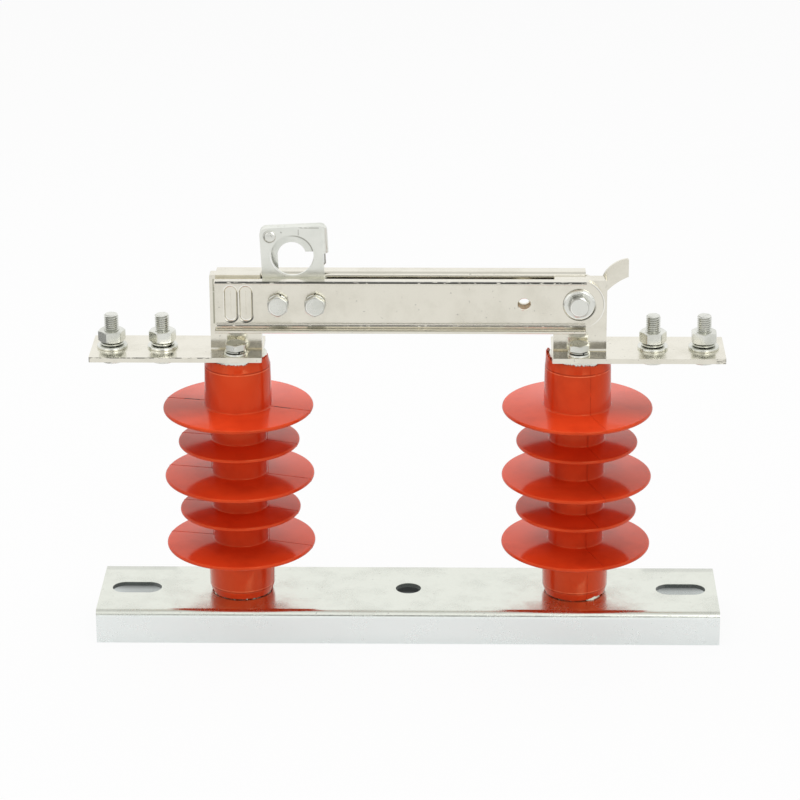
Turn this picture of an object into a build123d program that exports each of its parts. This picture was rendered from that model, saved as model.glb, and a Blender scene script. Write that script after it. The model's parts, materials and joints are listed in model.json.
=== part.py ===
from build123d import *
import math
import os

# Single-pole knife disconnector on two post insulators.
# Millimetres, +Z up, X along the base, the bolt heads of the blade face -Y.
# The origin is the middle of the base's underside.

# base channel
end_margin = 25
base_width = 80
base_height = 24
base_sheet = 3
base_bend = 5
slot_spacing = 380
slot_length = 34.5
slot_width = 18
centre_hole = 17.6

# post insulators
post_spacing = 232
post_height = 176
cap_radius = 22.1
cap_root = 22.7
cap_lip = 20.9
lip_height = 5
low_gap = 1.4
high_gap = 3.4
fitting_radius = 20.3
fitting_height = 18
sheath_radius = 18.8
rod_radius = 12
big_shed = 51.4
small_shed = 41.6
shed_pitch = 25
first_shed = 35.1
shed_rise = 1.3
root_radius = 1.2
rim = 2.7

# terminal bars and what stands on them
bar_outreach = 98.9
bar_length = 117
bar_width = 44.5
bar_thickness = 3.5
stud_spacing = 34.5
stud_outreach = 67.75
stud_above = 23.5
nut_turns = {-1: (14, 12), 1: (3, 30)}
cap_bolt_offset = 14.1
contact_width = 34.6
contact_thickness = 9
contact_height = 53
bracket_width = 35.8
bracket_height = 49.8
bracket_shift = 0.9
braze = 1

# switch blade
blade_gap = 10.6
blade_sheet = 2.5
blade_depth = 11.5
blade_height = 36.4
blade_bend = 2
axis_height = 33.5
blade_overhang = 13.5
flange_past_pivot = 4.6
nose_radius = 17.3
bump_width = 9.3
bump_length = 25.7
bump_pitch = 10.2
bump_inset = 15.6
bump_depth = 0.7
dent_depth = 1.2
pivot_washer_radius = 11.1
pivot_washer = 2.2
sight_hole = 8.5
sight_hole_inset = 37
horn_reach = 33.5
horn_top = 28.1
horn_foot = 15.4
horn_neck_top = 12
horn_neck_low = 15
horn_top_arc = 21.4
horn_low_arc = 40.4
horn_corner = 1

# ring latch, drawn about its own pivot
latch_inset = 29
guide_pitch = 25
latch_rest = 2.7
latch_travel = 15
latch_sheet = 2
latch_thick = 8
ring_x = 11.6
ring_z = 33
ring_hole = 14.3
ring_half = 21.25
ring_top = 52.5
ring_corner = 4.8
skirt = 1.5
skirt_top = 12
skirt_corner = 5
leaf_past_fold = 0.5
hook_throat = 14
hook_x = 10.8
hook_z = 30.7
hook_radius = 9.6
hook_mouth = 33
sleeve_radius = 5
rivet_radius = 2
rivet_dome = 5
rivet_rise = 2.4
rivet_x = -2.7
rivet_z = 46.7
spring_wire = 1.2
spring_pitch = 1.3
spring_height = 2.2
spring_play = 0.5
spring_leg_low = 25.4

# clearances
run_gap = 0.05
slip_gap = 0.1
slot_gap = 0.3
thread_gap = 0.05
washer_gap = 0.3

# fasteners: shank radius, thread's middle radius, across flats, head height, nut height, washer
# radius and thickness, spring washer radius and thickness, through hole radius
m8 = dict(r=4, mid=3.6, flats=13, head=4.6, nut=6.5, wr=7.7, wt=1.6, sr=7.2, st=2, hole=4.5)
m10 = dict(r=5, mid=4.5, flats=16.5, head=6.4, nut=8, wr=10.5, wt=2, sr=8.2, st=2.5, hole=5.5)
bolt_point = 0.8
past_nut = 2
screw_in = 12
tapped_depth = 15
washer_split = 0.8

base_length = slot_spacing + 2 * end_margin
post_x = post_spacing / 2
bar_end = post_x + bar_outreach
stud_mid = post_x + stud_outreach
blade_end = -post_x - blade_overhang
latch_x = -post_x + latch_inset
sight_hole_x = post_x - sight_hole_inset
bar_bottom = base_height + post_height
bar_top = bar_bottom + bar_thickness
axis_z = bar_top + axis_height
inner = blade_gap / 2
outer = inner + blade_sheet


def plate(sketch, y_low, y_high):
    """An upright sheet of this outline, drawn in X and Z, between two values of Y."""
    return extrude(Plane.XZ.offset(-y_high) * sketch, y_high - y_low)


def disc(radius, bottom, top):
    return Pos(0, 0, bottom) * Cylinder(radius, top - bottom, align=(Align.CENTER, Align.CENTER, Align.MIN))


def hexagon(flats, height, both_ends=False):
    """A hexagonal prism on Z = 0 with its corners turned off at 30 degrees."""
    prism = extrude(RegularPolygon(flats / 2, 6, major_radius=False), height)
    wide = flats * 0.56
    face = flats * 0.46
    rise = (wide - face) * math.tan(math.radians(30))
    foot = [(face, 0), (wide, rise)] if both_ends else [(wide, 0)]
    turned = Polyline((0, 0), *foot, (wide, height - rise), (face, height), (0, height), close=True)
    return prism & revolve(Plane.XZ * make_face(turned), Axis.Z)


def hex_screw(size, length):
    """Head above Z = 0, shank below it."""
    shank = chamfer(disc(size["r"], -length, 0).edges().sort_by(Axis.Z)[0], bolt_point)
    return hexagon(size["flats"], size["head"]) + shank


def hex_bolt(size, grip, past):
    """A screw for a nut: inside the nut its thread is drawn at the thread's middle radius."""
    nut_end = grip + size["nut"]
    waste = disc(size["r"] + 1, -nut_end, -grip) - disc(size["mid"], -nut_end, -grip)
    return hex_screw(size, nut_end + past) - waste


def hex_nut(size):
    return hexagon(size["flats"], size["nut"], True) - disc(size["mid"] + thread_gap, 0, size["nut"])


def washer(size):
    return disc(size["wr"], 0, size["wt"]) - disc(size["r"] + washer_gap, 0, size["wt"])


def spring_washer(size):
    """A ring cut through on a slant."""
    ring = disc(size["sr"], 0, size["st"]) - disc(size["r"] + washer_gap, 0, size["st"])
    cut = Box(washer_split, size["sr"], size["st"] * 3)
    return ring - Pos(0, -size["sr"] * 0.75, size["st"] / 2) * Rot(0, 25, 0) * cut


def save(shapes, name):
    """One node: a solid, or like solids on one body."""
    node = Compound(children=list(shapes)) if isinstance(shapes, list) else shapes
    node.label = name
    export_step(node, "parts/" + name + ".step")


# base channel: one sheet bent down along both long sides
section = Rectangle(base_width, base_height, align=(Align.CENTER, Align.MIN))
section = fillet(section.vertices().group_by(Axis.Y)[-1], base_bend)
hollow = Rectangle(base_width - 2 * base_sheet, base_height - base_sheet, align=(Align.CENTER, Align.MIN))
section -= fillet(hollow.vertices().group_by(Axis.Y)[-1], base_bend - base_sheet)
base = extrude(Plane.YZ * section, base_length / 2, both=True)
slots = [Pos(side * slot_spacing / 2, 0) * SlotOverall(slot_length, slot_width) for side in (-1, 1)]
holes = [Circle(centre_hole / 2)] + slots
holes += [Pos(side * post_x, 0) * Circle(m10["hole"]) for side in (-1, 1)]
base -= [Pos(0, 0, base_height - base_sheet) * extrude(hole, base_sheet) for hole in holes]
save(base, "base_channel")

# post insulators: rod, two metal fittings and the moulded housing with its sheds
top_root = first_shed + 4 * shed_pitch + rim
silhouette = Rectangle(sheath_radius, post_height, align=Align.MIN)
silhouette += make_face(Polyline((0, low_gap), (cap_lip, low_gap), (cap_radius, low_gap + lip_height),
                                 (cap_root, first_shed), (0, first_shed), close=True))
silhouette += make_face(Polyline((0, post_height - high_gap), (cap_lip, post_height - high_gap),
                                 (cap_radius, post_height - high_gap - lip_height),
                                 (cap_root, top_root), (0, top_root), close=True))
for count in range(5):
    radius = big_shed if count % 2 == 0 else small_shed
    low = first_shed + count * shed_pitch
    silhouette += make_face(Polyline((0, low), (radius, low), (radius, low + rim),
                                     (0, low + rim + shed_rise), close=True))
rims = silhouette.vertices().filter_by(lambda v: v.X > small_shed - 1)
silhouette = fillet(rims, rim * 0.42)
roots = silhouette.vertices().filter_by(lambda v: sheath_radius - 0.01 < v.X < cap_root + 0.2
                                        and first_shed - 1 < v.Y < top_root + shed_rise)
silhouette = fillet(roots, root_radius)
silhouette -= Rectangle(rod_radius, post_height, align=Align.MIN)
for radius, low, high in ((fitting_radius, 0, fitting_height),
                          (fitting_radius, post_height - fitting_height, post_height),
                          (big_shed, 0, low_gap), (big_shed, post_height - high_gap, post_height)):
    silhouette -= Pos(0, low) * Rectangle(radius, high - low, align=Align.MIN)
housing = revolve(Plane.XZ * silhouette, Axis.Z)
rod = disc(rod_radius, fitting_height, post_height - fitting_height)
top_fitting = disc(fitting_radius, post_height - fitting_height, post_height)
top_fitting = chamfer(top_fitting.edges().sort_by(Axis.Z)[-1], bolt_point)
for side in (-1, 1):
    tapped = disc(m8["r"] + thread_gap, post_height - tapped_depth, post_height)
    top_fitting -= Pos(0, side * cap_bolt_offset) * tapped
low_fitting = disc(fitting_radius, 0, fitting_height) - disc(m10["r"] + thread_gap, 0, tapped_depth)
for side, word in ((-1, "left"), (1, "right")):
    place = Pos(side * post_x, 0, base_height)
    save(place * housing, word + "_insulator_housing")
    save(place * rod, word + "_insulator_rod")
    save(place * top_fitting, word + "_upper_fitting")
    save(place * low_fitting, word + "_lower_fitting")
    under = Pos(side * post_x, 0, base_height - base_sheet) * Rot(180, 0, 0)
    save(under * washer(m10), word + "_base_washer")
    screw = hex_screw(m10, m10["wt"] + base_sheet + screw_in)
    save(under * Pos(0, 0, m10["wt"]) * screw, word + "_base_bolt")

# terminal bars with their clamping studs, and the bolts that hold them to the posts
for side, word in ((-1, "left"), (1, "right")):
    outline = Pos(side * (bar_end - bar_length / 2), 0) * Rectangle(bar_length, bar_width)
    outline = fillet(outline.vertices(), 1)
    stud_places = [side * (stud_mid + step * stud_spacing / 2) for step in (-1, 1)]
    for x in stud_places:
        outline -= Pos(x, 0) * Circle(m10["hole"])
    for y in (-cap_bolt_offset, cap_bolt_offset):
        outline -= Pos(side * post_x, y) * Circle(m8["hole"])
    save(Pos(0, 0, bar_bottom) * extrude(outline, bar_thickness), word + "_terminal_bar")
    studs = [Pos(x, 0, bar_top) for x in stud_places]
    stack = m10["wt"] + m10["st"]
    clamp = hex_bolt(m10, bar_thickness + stack, stud_above - stack - m10["nut"])
    clamp_bolt = Pos(0, 0, -bar_thickness) * Rot(180, 0, 0) * clamp
    clamp_nuts = [Pos(0, 0, stack) * Rot(0, 0, turn) * hex_nut(m10) for turn in nut_turns[side]]
    save([stud * clamp_bolt for stud in studs], word + "_terminal_bolts")
    save([stud * washer(m10) for stud in studs], word + "_terminal_flat_washers")
    save([stud * Pos(0, 0, m10["wt"]) * spring_washer(m10) for stud in studs],
         word + "_terminal_spring_washers")
    save([stud * nut for stud, nut in zip(studs, clamp_nuts)], word + "_terminal_nuts")
    seats = [Pos(side * post_x, y, bar_top) for y in (-cap_bolt_offset, cap_bolt_offset)]
    stack = m8["wt"] + m8["st"]
    cap_bolt = Pos(0, 0, stack) * Rot(0, 0, 35) * hex_screw(m8, stack + bar_thickness + screw_in)
    save([seat * cap_bolt for seat in seats], word + "_cap_bolts")
    save([seat * washer(m8) for seat in seats], word + "_cap_flat_washers")
    save([seat * Pos(0, 0, m8["wt"]) * spring_washer(m8) for seat in seats], word + "_cap_spring_washers")


def upright(x, width, thickness, height):
    """A block standing on the bar, with a brazed seam along its foot."""
    block = extrude(Rectangle(width, thickness), height)
    seam = extrude(Rectangle(width, thickness + 2 * braze), braze)
    edges = seam.edges().filter_by(Axis.X).group_by(Axis.Z)[-1]
    block += chamfer(edges, braze * 0.98)
    return Pos(x, 0, bar_top) * fillet(block.edges().filter_by(Axis.Y).group_by(Axis.Z)[-1], 1)


save(upright(-post_x, contact_width, contact_thickness, contact_height), "fixed_contact")
bracket = upright(post_x + bracket_shift, bracket_width, blade_gap - 2 * slip_gap, bracket_height)
bracket -= Pos(post_x, 0, axis_z) * Rot(90, 0, 0) * Cylinder(m8["r"] + run_gap, base_width)
save(bracket, "pivot_bracket")

# blade halves: channels with their flanges turned outward, a round nose at the pivot
flange_end = post_x + flange_past_pivot


def blade(side):
    profile = Rectangle(blade_depth, blade_height, align=(Align.MIN, Align.CENTER))
    profile = fillet(profile.vertices().group_by(Axis.X)[0], blade_bend + blade_sheet)
    pocket = Pos(blade_sheet, 0) * Rectangle(blade_depth, blade_height - 2 * blade_sheet,
                                             align=(Align.MIN, Align.CENTER))
    profile -= fillet(pocket.vertices().group_by(Axis.X)[0], blade_bend)
    half = extrude(Plane.YZ * Pos(inner, axis_z) * profile, flange_end - blade_end)
    half = Pos(blade_end, 0, 0) * half
    web = Circle(nose_radius)
    if side > 0:
        neck = (nose_radius * 0.85, horn_neck_top)
        tip = (horn_reach - horn_corner, horn_top)
        web += make_face(
            RadiusArc(tip, neck, -horn_top_arc)
            + Polyline(neck, (nose_radius / 2, 0), (horn_neck_low, 0))
            + RadiusArc((horn_neck_low, 0), (horn_reach, horn_foot), horn_low_arc)
            + Polyline((horn_reach, horn_foot), (horn_reach, horn_top - horn_corner), tip))
    half += plate(Pos(post_x, axis_z) * web, inner, outer)
    for count in range(2):
        x = blade_end + bump_inset - bump_pitch / 2 + count * bump_pitch
        oval = Pos(x, axis_z) * Rot(0, 0, 90) * SlotOverall(bump_length, bump_width)
        bump = plate(oval, inner - bump_depth, inner + 0.5)
        half += chamfer(bump.edges().group_by(Axis.Y)[0], bump_depth * 0.8)
        dent = plate(oval, outer - dent_depth, outer)
        half -= chamfer(dent.edges().group_by(Axis.Y)[0], dent_depth * 0.8)
    drill = Circle(m8["r"] + run_gap)
    half -= plate(Pos(post_x, axis_z) * drill, inner - 1, outer + 1)
    half -= plate(Pos(sight_hole_x, axis_z) * Circle(sight_hole / 2), inner - 1, outer + 1)
    for step in (0, guide_pitch):
        half -= plate(Pos(latch_x + step, axis_z) * Circle(m8["hole"]), inner - 1, outer + 1)
    return half if side > 0 else mirror(half, Plane.XZ)


save(blade(-1), "front_blade")
save(blade(1), "rear_blade")

# pivot bolt with a dished washer at each side and a nut behind
dish = disc(pivot_washer_radius, 0, pivot_washer) - disc(m8["r"] + washer_gap, 0, pivot_washer)
rim_edges = dish.edges().filter_by(GeomType.CIRCLE).group_by(Axis.Z)[-1].sort_by(SortBy.RADIUS)
dish = chamfer(rim_edges[-1], pivot_washer * 0.6)
front_face = Pos(post_x, -outer, axis_z) * Rot(90, 0, 0)
rear_face = Pos(post_x, outer, axis_z) * Rot(-90, 0, 0)
pivot_head = Pos(0, 0, pivot_washer) * Rot(0, 0, 12)
save(front_face * pivot_head * hex_bolt(m8, 2 * (outer + pivot_washer), past_nut), "pivot_bolt")
save([front_face * dish, rear_face * dish], "pivot_washers")
save(rear_face * Pos(0, 0, pivot_washer) * hex_nut(m8), "pivot_nut")

# the two bolts through the blade halves, each with a sleeve that keeps them apart
fronts = [Pos(latch_x + step, -outer, axis_z) * Rot(90, 0, 0) for step in (0, guide_pitch)]
rears = [Pos(latch_x + step, outer, axis_z) * Rot(-90, 0, 0) for step in (0, guide_pitch)]
blade_bolt = hex_bolt(m8, 2 * (outer + m8["st"]), past_nut)
tube = Circle(sleeve_radius) - Circle(m8["r"] + thread_gap)
save([front * Pos(0, 0, m8["st"]) * Rot(0, 0, 30) * blade_bolt for front in fronts], "blade_bolts")
save([face * spring_washer(m8) for face in fronts + rears], "blade_spring_washers")
save([rear * Pos(0, 0, m8["st"]) * hex_nut(m8) for rear in rears], "blade_nuts")
save([plate(Pos(latch_x + step, axis_z) * tube, -inner, inner) for step in (0, guide_pitch)],
     "blade_sleeves")

# ring latch: one sheet folded over at its upper right edge, turning on the latch sleeve
place = Pos(latch_x, 0, axis_z) * Rot(0, -latch_rest, 0)
half_thick = latch_thick / 2
left = ring_x - ring_half
fold_x = ring_x + ring_half - 1
track = [math.radians(latch_travel * part / 2 - latch_rest) for part in range(3)]
reach = sleeve_radius + slot_gap


def polar(radius, angle):
    return (radius * math.cos(angle), radius * math.sin(angle))


guide_slot = Pos(*polar(guide_pitch, track[0])) * Circle(reach)
guide_slot += Pos(*polar(guide_pitch, track[2])) * Circle(reach)
guide_slot += make_face(
    ThreePointArc(*[polar(guide_pitch + reach, a) for a in track])
    + Line(polar(guide_pitch + reach, track[2]), polar(guide_pitch - reach, track[2]))
    + ThreePointArc(*[polar(guide_pitch - reach, a) for a in reversed(track)])
    + Line(polar(guide_pitch - reach, track[0]), polar(guide_pitch + reach, track[0])))
skirt_x = fold_x + skirt
leaf_x = fold_x + leaf_past_fold
body = Circle(-left)
body += make_face(Polyline((left, 0), (0, left), (skirt_x - skirt_corner, left),
                           (skirt_x, left + skirt_corner), (skirt_x, skirt_top),
                           (leaf_x, skirt_top * 1.5), (leaf_x, ring_top), (left, ring_top), close=True))
cuts = [Circle(sleeve_radius + run_gap), guide_slot, Pos(rivet_x, rivet_z) * Circle(rivet_radius + run_gap)]
front_leaf = body - (cuts + [Pos(ring_x, ring_z) * Circle(ring_hole)])
hook = body - Pos(hook_x, hook_z) * Circle(hook_radius)
hook -= Pos(hook_x - hook_radius, hook_throat) * Rectangle(2 * ring_half, hook_mouth - hook_throat,
                                                           align=Align.MIN)
hook -= cuts
leaves = plate(front_leaf, -half_thick, latch_sheet - half_thick)
leaves += plate(hook, half_thick - latch_sheet, half_thick)
trim = Pos(fold_x, hook_mouth) * Rectangle(latch_thick, ring_top, align=Align.MIN)
leaves -= plate(trim, -half_thick, half_thick)
bend = Pos(fold_x, 0) * (Circle(half_thick) - Circle(half_thick - latch_sheet))
bend &= Pos(fold_x, 0) * Rectangle(latch_thick, 2 * latch_thick, align=(Align.MIN, Align.CENTER))
leaves += Pos(0, 0, hook_mouth) * extrude(bend, ring_top - hook_mouth)
face = Pos(left, -ring_top) * Rectangle(fold_x + half_thick - left, 2 * ring_top, align=Align.MIN)
leaves &= plate(fillet(face.vertices().group_by(Axis.Y)[-1], ring_corner), -half_thick, half_thick)
save(place * leaves, "latch_ring")

# rivet that closes the two leaves at their upper left corner
dome = Pos(0, 0, rivet_rise - rivet_dome) * Sphere(rivet_dome) & disc(rivet_dome, 0, rivet_rise)
rivet = disc(rivet_radius, -latch_thick, 0) + dome + Pos(0, 0, -latch_thick) * Rot(180, 0, 0) * dome
save(place * Pos(rivet_x, -half_thick, rivet_z) * Rot(90, 0, 0) * rivet, "latch_rivet")

# return spring: coil round the latch sleeve, one leg up to the fold
coil_radius = sleeve_radius + run_gap + spring_wire / 2 + spring_play
coil = Helix(spring_pitch, spring_height, coil_radius)
leg_x = fold_x + half_thick - latch_sheet - spring_wire / 2 - slip_gap
coil_start = coil @ 0
wire = sweep(Plane(origin=coil_start, z_dir=coil % 0) * Circle(spring_wire / 2), path=coil)
wire = Rot(90, 0, 0) * Pos(0, 0, -spring_height / 2) * wire
leg_start = coil_radius * math.cos(math.pi / 4)
leg_path = Polyline((leg_start, 0, -leg_start), (leg_x, 0, spring_leg_low),
                    (leg_x, 0, hook_mouth + latch_sheet))
leg_plane = Plane(origin=leg_path @ 0, z_dir=leg_path % 0)
wire += sweep(leg_plane * Circle(spring_wire / 2), path=leg_path, transition=Transition.ROUND)
save(place * wire, "latch_spring")
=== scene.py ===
import bpy
import json
from math import atan2, cos, hypot, pi, radians, sin, tan
from mathutils import Euler, Matrix, Quaternion, Vector, noise


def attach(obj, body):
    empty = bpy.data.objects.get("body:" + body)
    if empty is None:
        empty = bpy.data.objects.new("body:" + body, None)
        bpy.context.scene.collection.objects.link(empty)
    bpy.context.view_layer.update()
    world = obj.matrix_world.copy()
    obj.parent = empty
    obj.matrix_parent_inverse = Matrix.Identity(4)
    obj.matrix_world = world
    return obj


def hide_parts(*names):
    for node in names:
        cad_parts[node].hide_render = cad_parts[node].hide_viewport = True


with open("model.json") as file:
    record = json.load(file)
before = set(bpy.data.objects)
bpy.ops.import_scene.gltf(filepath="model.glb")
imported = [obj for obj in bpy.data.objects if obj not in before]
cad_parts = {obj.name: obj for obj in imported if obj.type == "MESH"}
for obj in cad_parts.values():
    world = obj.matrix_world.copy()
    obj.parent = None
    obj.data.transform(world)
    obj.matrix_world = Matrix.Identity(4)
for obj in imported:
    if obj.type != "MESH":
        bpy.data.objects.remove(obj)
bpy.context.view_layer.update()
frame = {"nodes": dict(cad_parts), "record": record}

bpy.context.scene.view_settings.view_transform = "Standard"

# places that these pieces share with the CAD model, in metres
postX, footZ, axisZ = 0.116, 0.024, 0.237
barTop, barThick, sheetFace = 0.2035, 0.0035, 0.0078
boltX, dentX = (-0.087, -0.062), (-0.119, -0.1088)

# camera: stands back and looks down on the switch through a long lens
cameraView = {"aim": (-0.0052, 0.0, 0.165), "distance": 2.2023, "elevation": 20.957,
              "azimuth": 1.326, "roll": -0.299, "lens": 144.87}


def clearSelection():
    if bpy.context.mode != "OBJECT":
        bpy.ops.object.mode_set(mode="OBJECT")
    bpy.ops.object.select_all(action="DESELECT")


def placeCamera():
    view = cameraView
    lift, turn = radians(view["elevation"]), radians(view["azimuth"])
    back = Vector((sin(turn) * cos(lift), -cos(turn) * cos(lift), sin(lift)))
    bpy.ops.object.camera_add(location=Vector(view["aim"]) + back * view["distance"])
    cam = bpy.context.object
    cam.rotation_mode = "QUATERNION"
    level = Euler((radians(90 - view["elevation"]), 0, turn)).to_quaternion()
    cam.rotation_quaternion = level @ Quaternion((0, 0, 1), radians(view["roll"]))
    cam.data.lens = view["lens"]
    cam.data.sensor_width = 36
    cam.data.clip_end = 50
    bpy.context.scene.camera = cam


clearSelection()
placeCamera()
print("camera placed")

# studio: three soft boxes, a pale floor, a white surround, and the dark room that bright metal mirrors
studio = {"lampAim": (0, 0, 0.15), "skyStrength": 0.62, "floorColor": 0.7, "floorSize": 14,
          "floorDrop": 0.0005, "floorGlow": 0.93, "floorShine": 0.42}
softboxes = {"keySoftbox": {"place": (0.9, -1.75, 1.25), "size": (0.9, 1.3), "power": 8, "mirrored": True},
             "fillSoftbox": {"place": (-1.4, -1.5, 0.9), "size": (0.8, 1.2), "power": 1.5, "mirrored": True},
             "topSoftbox": {"place": (-0.15, 0.25, 1.6), "size": (2.2, 1.6), "power": 25, "mirrored": False}}
darkCards = {"darkCeiling": {"place": (0, 0.2, 2.1), "size": (3.2, 1.9), "tone": 0.72, "tilt": 0},
             "darkRoom": {"place": (0.06, -2.6, 1.15), "size": (1.3, 0.9), "tone": 0.22, "tilt": 69},
             "darkLeft": {"place": (-0.95, 0.1, 0.004), "size": (0.8, 1.1), "tone": 0.3, "tilt": 0}}


def addSoftbox(name, box):
    bpy.ops.object.light_add(type="AREA", location=box["place"])
    lamp = bpy.context.object
    lamp.name = name
    lamp.data.shape = "RECTANGLE"
    lamp.data.size, lamp.data.size_y = box["size"]
    lamp.data.energy = box["power"]
    lamp.visible_glossy = box["mirrored"]
    aim = Vector(studio["lampAim"]) - Vector(box["place"])
    lamp.rotation_euler = aim.to_track_quat("-Z", "Y").to_euler()


def addNode(tree, kind, **settings):
    node = tree.nodes.new(kind)
    for key, value in settings.items():
        setattr(node, key, value)
    return node


def newTree(block):
    # an empty node tree on a material or a world
    block.use_nodes = True
    block.node_tree.nodes.clear()
    return block.node_tree


def addDarkCard(name, look):
    # seen in reflections only, it neither lights nor shades the switch
    bpy.ops.mesh.primitive_plane_add(size=1, location=look["place"])
    card = bpy.context.object
    card.name = name
    card.scale = (*look["size"], 1)
    card.rotation_euler = (radians(look["tilt"]), 0, 0)
    mat = bpy.data.materials.new(name)
    tree = newTree(mat)
    glow = addNode(tree, "ShaderNodeEmission")
    glow.inputs["Color"].default_value = (look["tone"],) * 3 + (1,)
    tree.links.new(glow.outputs[0], addNode(tree, "ShaderNodeOutputMaterial").inputs[0])
    card.data.materials.append(mat)
    card.visible_camera = card.visible_diffuse = card.visible_shadow = card.visible_transmission = False


def buildWorld():
    # plain white to the camera, in mirrors and through glass, and a dimmer sky for the light itself
    world = bpy.data.worlds.new("studioWorld")
    bpy.context.scene.world = world
    tree = newTree(world)
    out = addNode(tree, "ShaderNodeOutputWorld")
    sky = addNode(tree, "ShaderNodeBackground")
    sky.inputs["Strength"].default_value = studio["skyStrength"]
    white = addNode(tree, "ShaderNodeBackground")
    white.inputs["Color"].default_value = (1, 1, 1, 1)
    path = addNode(tree, "ShaderNodeLightPath")
    seen = addNode(tree, "ShaderNodeMath", operation="ADD", use_clamp=True)
    seenAtAll = addNode(tree, "ShaderNodeMath", operation="ADD", use_clamp=True)
    mix = addNode(tree, "ShaderNodeMixShader")
    tree.links.new(path.outputs["Is Camera Ray"], seen.inputs[0])
    tree.links.new(path.outputs["Is Glossy Ray"], seen.inputs[1])
    tree.links.new(seen.outputs[0], seenAtAll.inputs[0])
    tree.links.new(path.outputs["Is Transmission Ray"], seenAtAll.inputs[1])
    tree.links.new(seenAtAll.outputs[0], mix.inputs["Fac"])
    tree.links.new(sky.outputs[0], mix.inputs[1])
    tree.links.new(white.outputs[0], mix.inputs[2])
    tree.links.new(mix.outputs[0], out.inputs[0])


def buildFloor():
    # matte under the switch's shadow, glowing nearly white where the camera or a mirror sees it
    bpy.ops.mesh.primitive_plane_add(size=studio["floorSize"], location=(0, 0, -studio["floorDrop"]))
    floor = bpy.context.object
    floor.name = "studioFloor"
    mat = bpy.data.materials.new("paleFloor")
    tree = newTree(mat)
    out = addNode(tree, "ShaderNodeOutputMaterial")
    matte = addNode(tree, "ShaderNodeBsdfDiffuse")
    matte.inputs["Color"].default_value = (studio["floorColor"],) * 3 + (1,)
    glow = addNode(tree, "ShaderNodeEmission")
    path = addNode(tree, "ShaderNodeLightPath")
    seen = addNode(tree, "ShaderNodeMath", operation="MULTIPLY")
    seen.inputs[1].default_value = studio["floorGlow"]
    shine = addNode(tree, "ShaderNodeMath", operation="MULTIPLY_ADD")
    shine.inputs[1].default_value = studio["floorShine"]
    mix = addNode(tree, "ShaderNodeMixShader")
    tree.links.new(path.outputs["Is Camera Ray"], seen.inputs[0])
    tree.links.new(path.outputs["Is Glossy Ray"], shine.inputs[0])
    tree.links.new(seen.outputs[0], shine.inputs[2])
    tree.links.new(shine.outputs[0], mix.inputs["Fac"])
    tree.links.new(matte.outputs[0], mix.inputs[1])
    tree.links.new(glow.outputs[0], mix.inputs[2])
    tree.links.new(mix.outputs[0], out.inputs[0])
    floor.data.materials.append(mat)


for name, box in softboxes.items():
    addSoftbox(name, box)
for name, look in darkCards.items():
    addDarkCard(name, look)
buildWorld()
buildFloor()
print("studio lit")


def startFinish(name):
    # every finish is made of nodes on object coordinates, which are metres at rest
    mat = bpy.data.materials.new(name)
    mat.use_nodes = True
    tree = mat.node_tree
    return mat, tree, tree.nodes["Principled BSDF"]


def objectPoint(tree, scale=(1, 1, 1), turn=(0, 0, 0), shift=(0, 0, 0)):
    point = addNode(tree, "ShaderNodeTexCoord")
    place = addNode(tree, "ShaderNodeMapping")
    place.inputs["Scale"].default_value = scale
    place.inputs["Rotation"].default_value = turn
    place.inputs["Location"].default_value = shift
    tree.links.new(point.outputs["Object"], place.inputs["Vector"])
    return place.outputs["Vector"]


def addNoise(tree, vector, scale, detail=4.0, rough=0.55):
    tex = addNode(tree, "ShaderNodeTexNoise")
    tex.inputs["Scale"].default_value = scale
    tex.inputs["Detail"].default_value = detail
    tex.inputs["Roughness"].default_value = rough
    tree.links.new(vector, tex.inputs["Vector"])
    return tex.outputs["Fac"]


def remap(tree, value, low, high, toLow=0.0, toHigh=1.0):
    node = addNode(tree, "ShaderNodeMapRange", interpolation_type="SMOOTHSTEP")
    for key, number in (("From Min", low), ("From Max", high), ("To Min", toLow), ("To Max", toHigh)):
        node.inputs[key].default_value = number
    tree.links.new(value, node.inputs["Value"])
    return node.outputs["Result"]


def combine(tree, operation, a, b):
    node = addNode(tree, "ShaderNodeMath", operation=operation)
    for socket, value in zip(node.inputs, (a, b)):
        if isinstance(value, (int, float)):
            socket.default_value = value
        else:
            tree.links.new(value, socket)
    return node.outputs[0]


def blendColor(tree, fac, a, b):
    node = addNode(tree, "ShaderNodeMix", data_type="RGBA")
    if isinstance(fac, (int, float)):
        node.inputs[0].default_value = fac
    else:
        tree.links.new(fac, node.inputs[0])
    for socket, value in ((node.inputs[6], a), (node.inputs[7], b)):
        if isinstance(value, tuple):
            socket.default_value = (*value, 1)
        else:
            tree.links.new(value, socket)
    return node.outputs[2]


def addBump(tree, shader, height, strength, distance, before=None):
    bump = addNode(tree, "ShaderNodeBump")
    bump.inputs["Strength"].default_value = strength
    bump.inputs["Distance"].default_value = distance
    tree.links.new(height, bump.inputs["Height"])
    if before is not None:
        tree.links.new(before, bump.inputs["Normal"])
    tree.links.new(bump.outputs[0], shader.inputs["Normal"])
    return bump.outputs[0]


# plated metals: a clear base colour, mottled gloss, fine scratches and specks
platedMetals = {
    "tinned_copper": {"color": (0.84, 0.81, 0.71), "dull": (0.78, 0.75, 0.65),
                      "rough": (0.12, 0.24), "scratch": 0.08},
    "galvanised_steel": {"color": (0.79, 0.81, 0.735), "dull": (0.73, 0.75, 0.68),
                         "rough": (0.16, 0.28), "scratch": 0.05},
    "zinc_steel": {"color": (0.80, 0.805, 0.75), "dull": (0.68, 0.69, 0.63),
                   "rough": (0.20, 0.34), "scratch": 0.12},
    "plated_sheet": {"color": (0.87, 0.88, 0.82), "dull": (0.78, 0.80, 0.74),
                     "rough": (0.28, 0.42), "scratch": 0.12},
    "spring_wire": {"color": (0.55, 0.55, 0.53), "dull": (0.40, 0.40, 0.38),
                    "rough": (0.2, 0.35), "scratch": 0.05}}
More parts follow.
